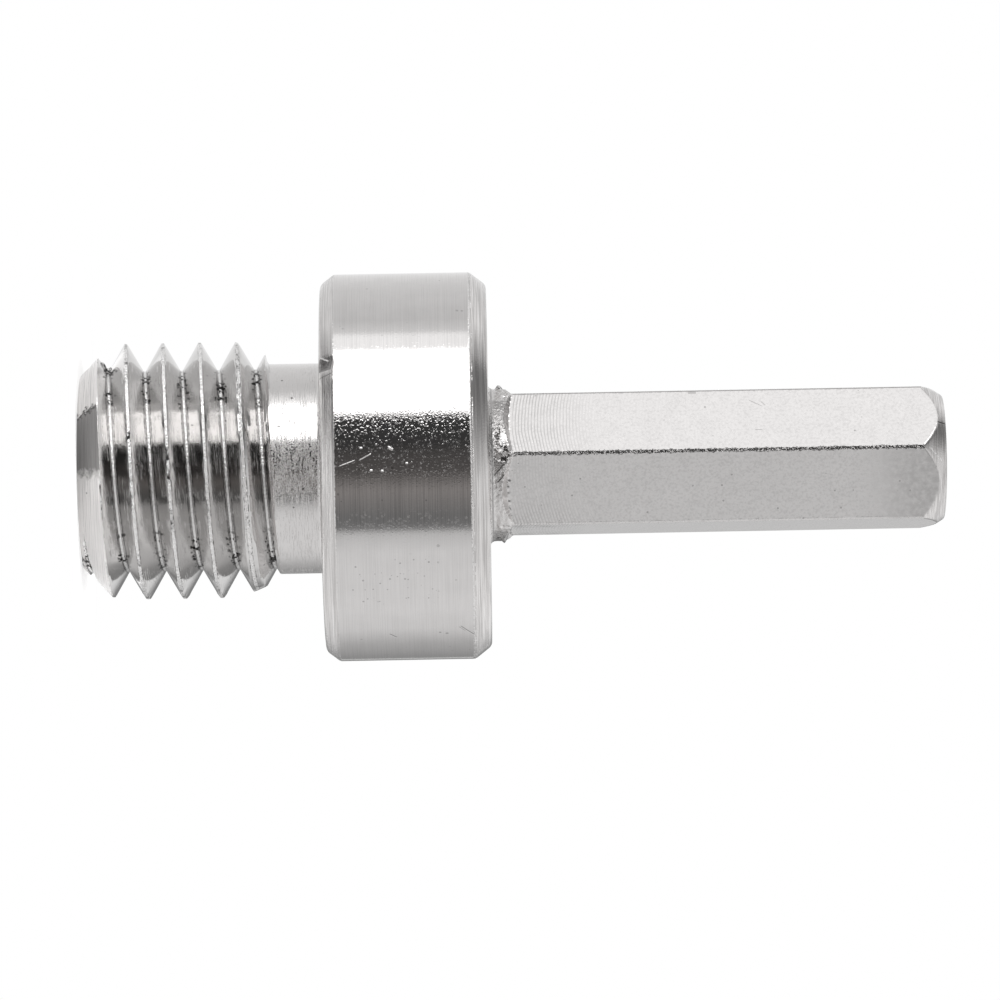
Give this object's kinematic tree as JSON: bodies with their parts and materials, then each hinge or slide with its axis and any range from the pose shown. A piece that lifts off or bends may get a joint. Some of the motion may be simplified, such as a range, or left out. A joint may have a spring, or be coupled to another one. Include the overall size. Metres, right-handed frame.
{
  "type": "core bit adapter",
  "caption": "One-piece steel adapter with a coarse threaded end, plain neck, round seating collar and chamfered hexagon shank for a drill chuck.",
  "frame": {"origin": "centre of the flat end face of the thread, on which the adapter stands", "axes": "+Z along the turning axis, from the threaded end to the shank; one flat of the hexagon faces -Y"},
  "size_m": [0.021, 0.021, 0.0467],
  "materials": {
    "plated_steel": "bright nickel-plated steel over fine turning and milling marks"
  },
  "bodies": {
    "root": {"adapter_body": "plated_steel"}
  },
  "joints": []
}
